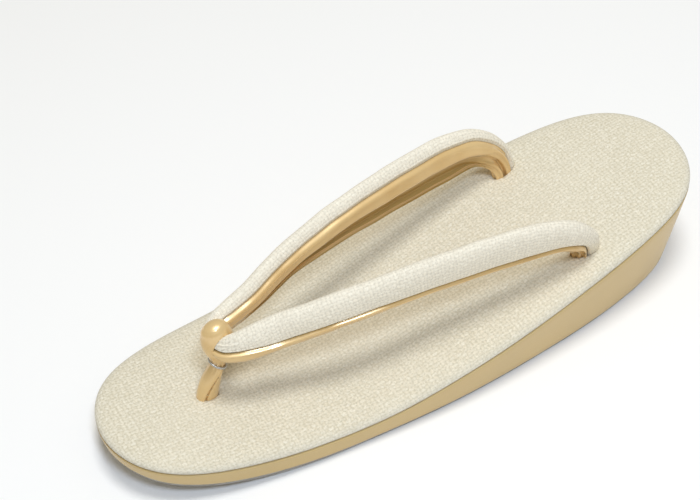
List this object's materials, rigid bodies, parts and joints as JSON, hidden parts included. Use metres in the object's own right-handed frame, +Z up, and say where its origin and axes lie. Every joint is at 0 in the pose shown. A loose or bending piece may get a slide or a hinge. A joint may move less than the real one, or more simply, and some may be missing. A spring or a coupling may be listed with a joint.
{
  "type": "zori sandal",
  "caption": "Wedge-soled Japanese thong sandal with a woven padded footbed, a padded V-shaped strap lined in leather and a bound toe loop.",
  "frame": {"origin": "on the floor under the middle of the shoe's length and width", "axes": "+Y from toe to heel, +X across the shoe, square to its plane of symmetry, +Z up"},
  "size_m": [0.0844, 0.2403, 0.0584],
  "materials": {
    "outsole": "matt, finely ribbed",
    "sole_cover": "satin coated leather",
    "footbed_cloth": "matt basket weave",
    "strap_cloth": "matt basket weave",
    "strap_leather": "glossy coated leather",
    "binding": "silver wire wrap"
  },
  "bodies": {
    "root": {"outsole": "outsole", "midsole": "sole_cover", "insole": "footbed_cloth", "strap": "strap_cloth", "toe_loop": "strap_leather", "binding_ring": "binding"}
  },
  "joints": []
}
